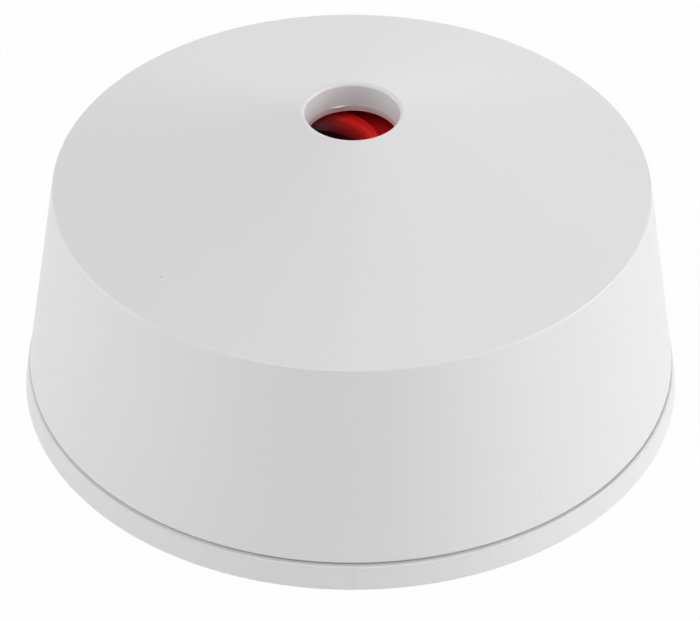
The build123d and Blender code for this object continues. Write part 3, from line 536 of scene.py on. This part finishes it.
FINISHES = {
    "white_abs": make_white_abs(),
    "red_abs": make_red_abs(),
    "black_abs": make_moulding(
        "black_abs", (0.014, 0.014, 0.015), (0.026, 0.026, 0.028), 0.42
    ),
    "silicone": make_silicone(),
    "disc_brass": make_rolled_metal(
        "disc_brass", (0.62, 0.42, 0.14), (0.78, 0.58, 0.24), 0.24
    ),
    "disc_ceramic": make_disc_ceramic(),
    "contact_brass": make_rolled_metal(
        "contact_brass", (0.66, 0.50, 0.22), (0.80, 0.66, 0.36), 0.26
    ),
    "spring_bronze": make_rolled_metal(
        "spring_bronze", (0.55, 0.33, 0.14), (0.72, 0.48, 0.24), 0.28
    ),
    "zinc_steel": make_zinc_plate(),
    "red_insulation": make_moulding(
        "red_insulation", (0.42, 0.016, 0.016), (0.52, 0.024, 0.022), 0.38
    ),
    "black_insulation": make_moulding(
        "black_insulation", (0.012, 0.012, 0.012), (0.022, 0.022, 0.022), 0.4
    ),
    "board_laminate": make_board_laminate(),
    "switch_red": make_moulding(
        "switch_red", (0.40, 0.022, 0.020), (0.50, 0.034, 0.030), 0.45
    ),
    "slider_white": make_moulding(
        "slider_white", (0.70, 0.70, 0.67), (0.80, 0.79, 0.76), 0.4
    ),
    "trimmer_blue": make_moulding(
        "trimmer_blue", (0.014, 0.07, 0.30), (0.022, 0.10, 0.40), 0.4
    ),
    "chip_epoxy": make_chip_epoxy(),
    "tin_plate": make_tin_plate(),
    "can_aluminium": make_can_aluminium(),
    "sleeve_black": make_sleeve(),
    "ferrite": make_ferrite(),
    "enamelled_copper": make_enamelled_copper(),
    "resistor_ceramic": make_resistor(),
}


def finish_nodes():
    """Gives every CAD node the finish of its material slot."""
    for entry in frame["record"]["subparts"]:
        mesh = frame["nodes"][entry["node"]].data
        mesh.materials.clear()
        mesh.materials.append(FINISHES[entry["material_slot"]])


def add_surface(name, grids, slot, body, closed_rows=False):
    """A piece from one or more grids of points: its columns go round and close.

    Each grid is rows x columns x 3. Neighbouring points (row, column) make a four-sided
    face. The rows either close on themselves or end in a cap at each end. With m the mean
    point and p0, p1, p2 three corners, the sum of (p0 - m) . ((p1 - p0) x (p2 - p0)) over
    the faces is positive when they face outwards; if not, all faces are turned.
    """
    grids = np.asarray(grids, float)
    copies, rows, columns, _ = grids.shape
    index = np.arange(copies * rows * columns).reshape(copies, rows, columns)
    ahead = np.roll(index, -1, axis=1)
    low, high = (index, ahead) if closed_rows else (index[:, :-1], ahead[:, :-1])
    corners = (low, np.roll(low, -1, axis=2), np.roll(high, -1, axis=2), high)
    quads = np.stack(corners, axis=-1).reshape(-1, 4)
    points = grids.reshape(-1, 3)
    a, b, c = (points[quads[:, corner]] for corner in (0, 1, 2))
    turned = np.einsum("ij,ij->", a - points.mean(0), np.cross(b - a, c - a)) < 0
    faces = quads.tolist()
    if not closed_rows:
        faces += index[:, 0, ::-1].tolist() + index[:, -1].tolist()
    if turned:
        faces = [face[::-1] for face in faces]
    mesh = bpy.data.meshes.new(name)
    mesh.from_pydata(points, [], faces)
    mesh.polygons.foreach_set("use_smooth", np.ones(len(faces), bool))
    mesh.materials.append(FINISHES[slot])
    piece = bpy.data.objects.new(name, mesh)
    bpy.context.scene.collection.objects.link(piece)
    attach(piece, body)
    return piece


def once_round(steps):
    """Equal angles once round, with no angle twice."""
    return np.linspace(0, 2 * np.pi, steps, endpoint=False)


def turned_profile(radii, heights, middles, columns=24):
    """Surfaces of revolution, one at each middle.

    Point (row, column) is middle + (r cos a, r sin a, h) with r and h of the row and
    a = 2 pi column / columns.
    """
    angle = once_round(columns)
    ring = np.stack([np.cos(angle), np.sin(angle)], axis=-1)
    flat = np.asarray(radii)[:, None, None] * ring
    level = np.broadcast_to(np.asarray(heights)[:, None, None], (*flat.shape[:2], 1))
    return np.asarray(middles)[:, None, None, :] + np.concatenate([flat, level], axis=-1)


def make_outlet_flash():
    """Nick of moulding flash on the inside of the neck.

    With t along the wall and s round the section, the point is at radius
    R + b - h(t) cos s and height z + w sin s, where
    h(t) = b / 2 + f exp(-((t - tf) / tw)^2).
    """
    middle, span = math.radians(FLASH_ANGLE), math.radians(FLASH_SPAN)
    tail = FLASH_TAIL * span
    t = np.linspace(middle - tail, middle + tail, 48)[:, None]
    s = once_round(12)[None, :]
    rise = FLASH_BURIED / 2 + FLASH_RISE * np.exp(-(((t - middle) / span) ** 2))
    radius = NECK_RADIUS + FLASH_BURIED - rise * np.cos(s)
    height = NECK_THIN_HEIGHT + FLASH_HALF_WIDTH * np.sin(s) + 0.0 * t
    ridge = np.stack([radius * np.cos(t), radius * np.sin(t), height], axis=-1)
    add_surface("outlet_flash", ridge[None], "white_abs", "head")


def make_coil_turns():
    """Close turns of enamelled wire round the ferrite drum.

    The wire's middle is at (c + p cos t, p sin t, z0 + h t / T), where h is the climb
    from the bottom turn to the top one, T is the last t, and p waves by w sin(k t). Its
    round section lies between the radial and upward ways.
    """
    low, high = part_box("coil_winding")
    middle = (low + high) / 2
    outside = (high.x - low.x) / 2
    t = np.linspace(0, 2 * np.pi * COIL_TURNS, STEPS_PER_TURN * COIL_TURNS)[:, None]
    s = once_round(8)[None, :]
    wave = WIRE_WAVE * np.sin(WIRE_WAVES_PER_TURN * t)
    radius = outside - WIRE_RADIUS - WIRE_CLEARANCE + wave + WIRE_RADIUS * np.cos(s)
    climb = (high.z - low.z - 2 * WIRE_RADIUS) * t / t.max()
    height = low.z + WIRE_RADIUS + climb + WIRE_RADIUS * np.sin(s)
    wire = [middle.x + radius * np.cos(t), middle.y + radius * np.sin(t), height]
    grid = np.stack(wire, axis=-1)[None]
    turns = add_surface("coil_turns", grid, "enamelled_copper", "head")
    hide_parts("coil_winding")


def make_solder_legs(name, places, level, way):
    """Trimmed legs in hollow cones of solder on one face of the board.

    Up the leg, with u from 0 to 1, the radius is l + (s - l)(1 - u)^k over the solder,
    then l up to the tip, which closes in a quarter round.
    """
    u = np.linspace(0, 1, 8)
    cone = LEG_RADIUS + (SOLDER_RADIUS - LEG_RADIUS) * (1 - u) ** SOLDER_HOLLOW
    q = np.linspace(0.2, 1, 4) * np.pi / 2
    tip = LEG_RADIUS * np.append(np.cos(q[:-1]), TIP_OPENING)
    radii = np.concatenate([cone, tip])
    end = LEG_LENGTH - LEG_RADIUS * (1 - np.sin(q))
    heights = np.concatenate([u * SOLDER_SHARE * LEG_LENGTH, end])
    middles = np.column_stack([np.asarray(places), np.full(len(places), level)])
    legs = turned_profile(radii, way * heights, middles, 16)
    add_surface(name, legs, "tin_plate", "head")


def make_board_solder():
    """Solder on both faces of the board: switch and trimmer legs above, others below."""
    low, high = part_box("circuit_board")
    poles = (np.arange(SWITCH_POLES) - SWITCH_POLES // 2) * SWITCH_PITCH
    rows = SWITCH_MIDDLE_Y + np.array([-SWITCH_ROW, SWITCH_ROW])
    switch = [(x, y) for y in rows for x in poles]
    make_solder_legs("upper_solder", switch + TRIMMER_LEGS, high.z, 1)
    cans = [(-CAN_MIDDLE[0], y * MM) for y in CAN_LEGS_Y]
    make_solder_legs("lower_solder", cans + COIL_LEGS, low.z, -1)


def make_disc_solder():
    """Flat drops of solder where the two leads meet the sounder disc.

    With u from 0 to pi / 2 the radius is R sin u and the drop hangs D cos u below.
    """
    u = np.linspace(TIP_OPENING, np.pi / 2, 9)
    for name, lead in (("live_solder", "lead_live"), ("return_solder", "lead_return")):
        low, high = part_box(lead)
        end = (low.x + LEAD_END, 0.0, high.z)
        drop = turned_profile(DROP_RADIUS * np.sin(u), -DROP_DEPTH * np.cos(u), [end])
        add_surface(name, drop, "tin_plate", "head")


def make_ejector_marks():
    """Faint rings left by the ejector pins on the underside of the base plate.

    With t round the ring and s round the section, the point is at radius R + w cos s from
    the ring's middle and at height z + h sin s.
    """
    turn = 2 * np.pi * np.arange(MARK_COUNT) / MARK_COUNT
    t = once_round(40)[:, None]
    s = once_round(6)[None, :]
    radius = MARK_RADIUS + 2 * MARK_RISE * np.cos(s)
    height = DECK_UNDERSIDE + MARK_RISE * np.sin(s) + 0.0 * t
    ring = np.stack([radius * np.cos(t), radius * np.sin(t), height], axis=-1)
    middle = MARK_CIRCLE * np.column_stack([np.cos(turn), np.sin(turn), 0 * turn])
    rings = ring[None] + middle[:, None, None, :]
    add_surface("ejector_marks", rings, "white_abs", "base", closed_rows=True)


def make_camera():
    """Camera in front of and above the siren, looking down, rolled very slightly."""
    data = bpy.data.cameras.new("camera")
    data.lens = CAMERA_LENS
    data.sensor_width = CAMERA_SENSOR
    data.shift_x = CAMERA_SHIFT
    camera = bpy.data.objects.new("camera", data)
    bpy.context.scene.collection.objects.link(camera)
    rise = math.radians(CAMERA_ELEVATION)
    place = (0.0, -CAMERA_DISTANCE * math.cos(rise), CAMERA_DISTANCE * math.sin(rise))
    tilt = Matrix.Rotation(math.radians(90.0 - CAMERA_LOOK_DOWN), 4, "X")
    roll = Matrix.Rotation(math.radians(CAMERA_ROLL), 4, "Z")
    camera.matrix_world = Matrix.Translation(place) @ tilt @ roll
    bpy.context.scene.camera = camera


def seen_directly(tree):
    """A socket that is 1 for what the camera sees, straight or by a reflection."""
    path = tree.nodes.new("ShaderNodeLightPath")
    total = path.outputs["Is Camera Ray"]
    for name in ("Is Glossy Ray", "Is Transmission Ray"):
        either = tree.nodes.new("ShaderNodeMath")
        either.operation = "MAXIMUM"
        tree.links.new(total, either.inputs[0])
        tree.links.new(path.outputs[name], either.inputs[1])
        total = either.outputs[0]
    return total


def make_room():
    """Even room light, with a white background for what the camera sees."""
    world = bpy.data.worlds.new("room")
    bpy.context.scene.world = world
    world.use_nodes = True
    tree = world.node_tree
    light = tree.nodes["Background"]
    light.inputs["Color"].default_value = (1.0, 1.0, 1.0, 1.0)
    light.inputs["Strength"].default_value = ROOM_LIGHT
    backdrop = tree.nodes.new("ShaderNodeBackground")
    backdrop.inputs["Color"].default_value = (1.0, 1.0, 1.0, 1.0)
    mix = tree.nodes.new("ShaderNodeMixShader")
    tree.links.new(seen_directly(tree), mix.inputs[0])
    tree.links.new(light.outputs[0], mix.inputs[1])
    tree.links.new(backdrop.outputs[0], mix.inputs[2])
    tree.links.new(mix.outputs[0], tree.nodes["World Output"].inputs["Surface"])


def make_floor():
    """Pale floor under the siren that nearly matches the backdrop and keeps a shadow."""
    half = FLOOR_SIZE / 2
    mesh = bpy.data.meshes.new("floor")
    corners = [(-half, -half), (half, -half), (half, half), (-half, half)]
    mesh.from_pydata([(x, y, -FLOOR_DROP) for x, y in corners], [], [(0, 1, 2, 3)])
    floor = bpy.data.objects.new("floor", mesh)
    bpy.context.scene.collection.objects.link(floor)
    finish = Finish("floor", Roughness=0.9, Specular_IOR_Level=0.0)
    tone = finish.noise(3.0, 2.0)
    dark, light = (FLOOR_ALBEDO,) * 3, (FLOOR_ALBEDO + FLOOR_MOTTLE,) * 3
    finish.feed(Base_Color=finish.blend(tone, dark, light))
    tree = finish.tree
    glow = tree.nodes.new("ShaderNodeEmission")
    mix = tree.nodes.new("ShaderNodeMixShader")
    share = Signal(finish, seen_directly(tree)) * FLOOR_GLOW
    tree.links.new(share.socket, mix.inputs[0])
    tree.links.new(finish.shader.outputs[0], mix.inputs[1])
    tree.links.new(glow.outputs[0], mix.inputs[2])
    tree.links.new(mix.outputs[0], tree.nodes["Material Output"].inputs["Surface"])
    mesh.materials.append(finish.material)


def make_lamp(name, azimuth, elevation, distance, size, power):
    """Square soft lamp on a sphere round the siren, facing its middle."""
    data = bpy.data.lights.new(name, "AREA")
    data.shape = "SQUARE"
    data.size = size
    data.energy = power
    lamp = bpy.data.objects.new(name, data)
    bpy.context.scene.collection.objects.link(lamp)
    turn = Matrix.Rotation(math.radians(azimuth), 4, "Z")
    tilt = Matrix.Rotation(math.radians(90.0 - elevation), 4, "X")
    lamp.matrix_world = turn @ tilt @ Matrix.Translation((0, 0, distance))


# Each lamp: azimuth and elevation in degrees, distance and size in metres, power in watts
LAMPS = {
    "right_softbox": (90.0, 20.0, 1.2, 0.7, 7.0),
    "right_front_softbox": (60.0, 20.0, 1.2, 0.7, 2.2),
    "left_softbox": (-90.0, 20.0, 1.2, 0.7, 4.7),
    "front_softbox": (-25.0, 54.0, 1.2, 0.7, 5.0),
    "back_softbox": (180.0, 20.0, 1.2, 0.7, 1.9),
    "top_softbox": (150.0, 75.0, 1.2, 0.5, 0.6),
}

finish_nodes()
make_outlet_flash()
make_coil_turns()
make_board_solder()
make_disc_solder()
make_ejector_marks()
make_camera()
make_room()
make_floor()
for lamp_name, lamp_values in LAMPS.items():
    make_lamp(lamp_name, *lamp_values)

view = bpy.context.scene.view_settings
view.view_transform = "Standard"
